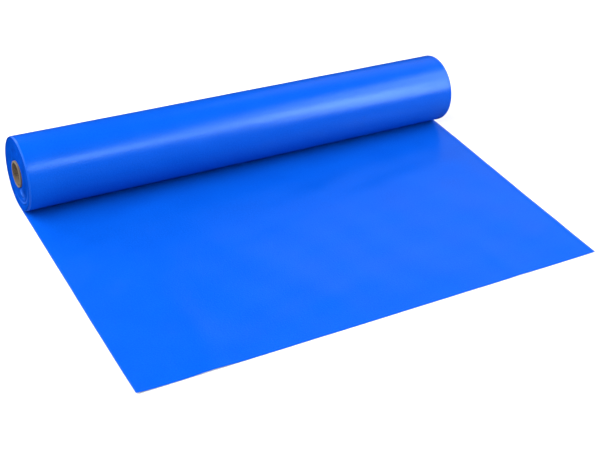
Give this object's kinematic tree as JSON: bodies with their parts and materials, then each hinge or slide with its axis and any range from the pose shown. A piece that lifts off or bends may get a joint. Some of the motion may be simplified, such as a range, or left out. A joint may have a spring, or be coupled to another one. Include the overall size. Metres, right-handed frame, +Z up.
{
  "type": "backdrop paper roll",
  "caption": "Wide roll of satin-faced backdrop sheet on a cardboard tube core, lying on its side with its free end drawn out flat in front",
  "frame": {"origin": "on the floor, in the middle of the whole part's width and depth", "axes": "+X along the roll, to the right seen from the free edge; -Y from the roll to the free edge; +Z up"},
  "size_m": [1.225, 0.8211, 0.1845],
  "materials": {
    "web": "satin",
    "core_board": "matte",
    "starter_tape": "matte"
  },
  "bodies": {
    "laid_web": {"web_laid": "web"},
    "outer_turn": {"web_outer_turn": "web"},
    "roll": {"core_inner_ply": "core_board", "core_body_ply_1": "core_board", "core_body_ply_2": "core_board", "core_body_ply_3": "core_board", "core_body_ply_4": "core_board", "core_body_ply_5": "core_board", "core_outer_ply": "core_board", "starter_tape_left": "starter_tape", "starter_tape_middle": "starter_tape", "starter_tape_right": "starter_tape", "web_wound": "web"}
  },
  "joints": [
    {"name": "roll_travel", "type": "slide", "parent": "laid_web", "child": "outer_turn", "axis": [0, 1, 0], "range_m": [-0.289, 0.579], "deforming": ["web_laid"]},
    {"name": "roll_turn", "type": "hinge", "parent": "outer_turn", "child": "roll", "pos_m": [0, 0.31838, 0.0925], "axis": [1, 0, 0], "range_deg": [-360, 180]}
  ],
  "couplings": [
    {"joint": "roll_turn", "follows": "roll_travel", "rad_per_m": -10.84}
  ]
}
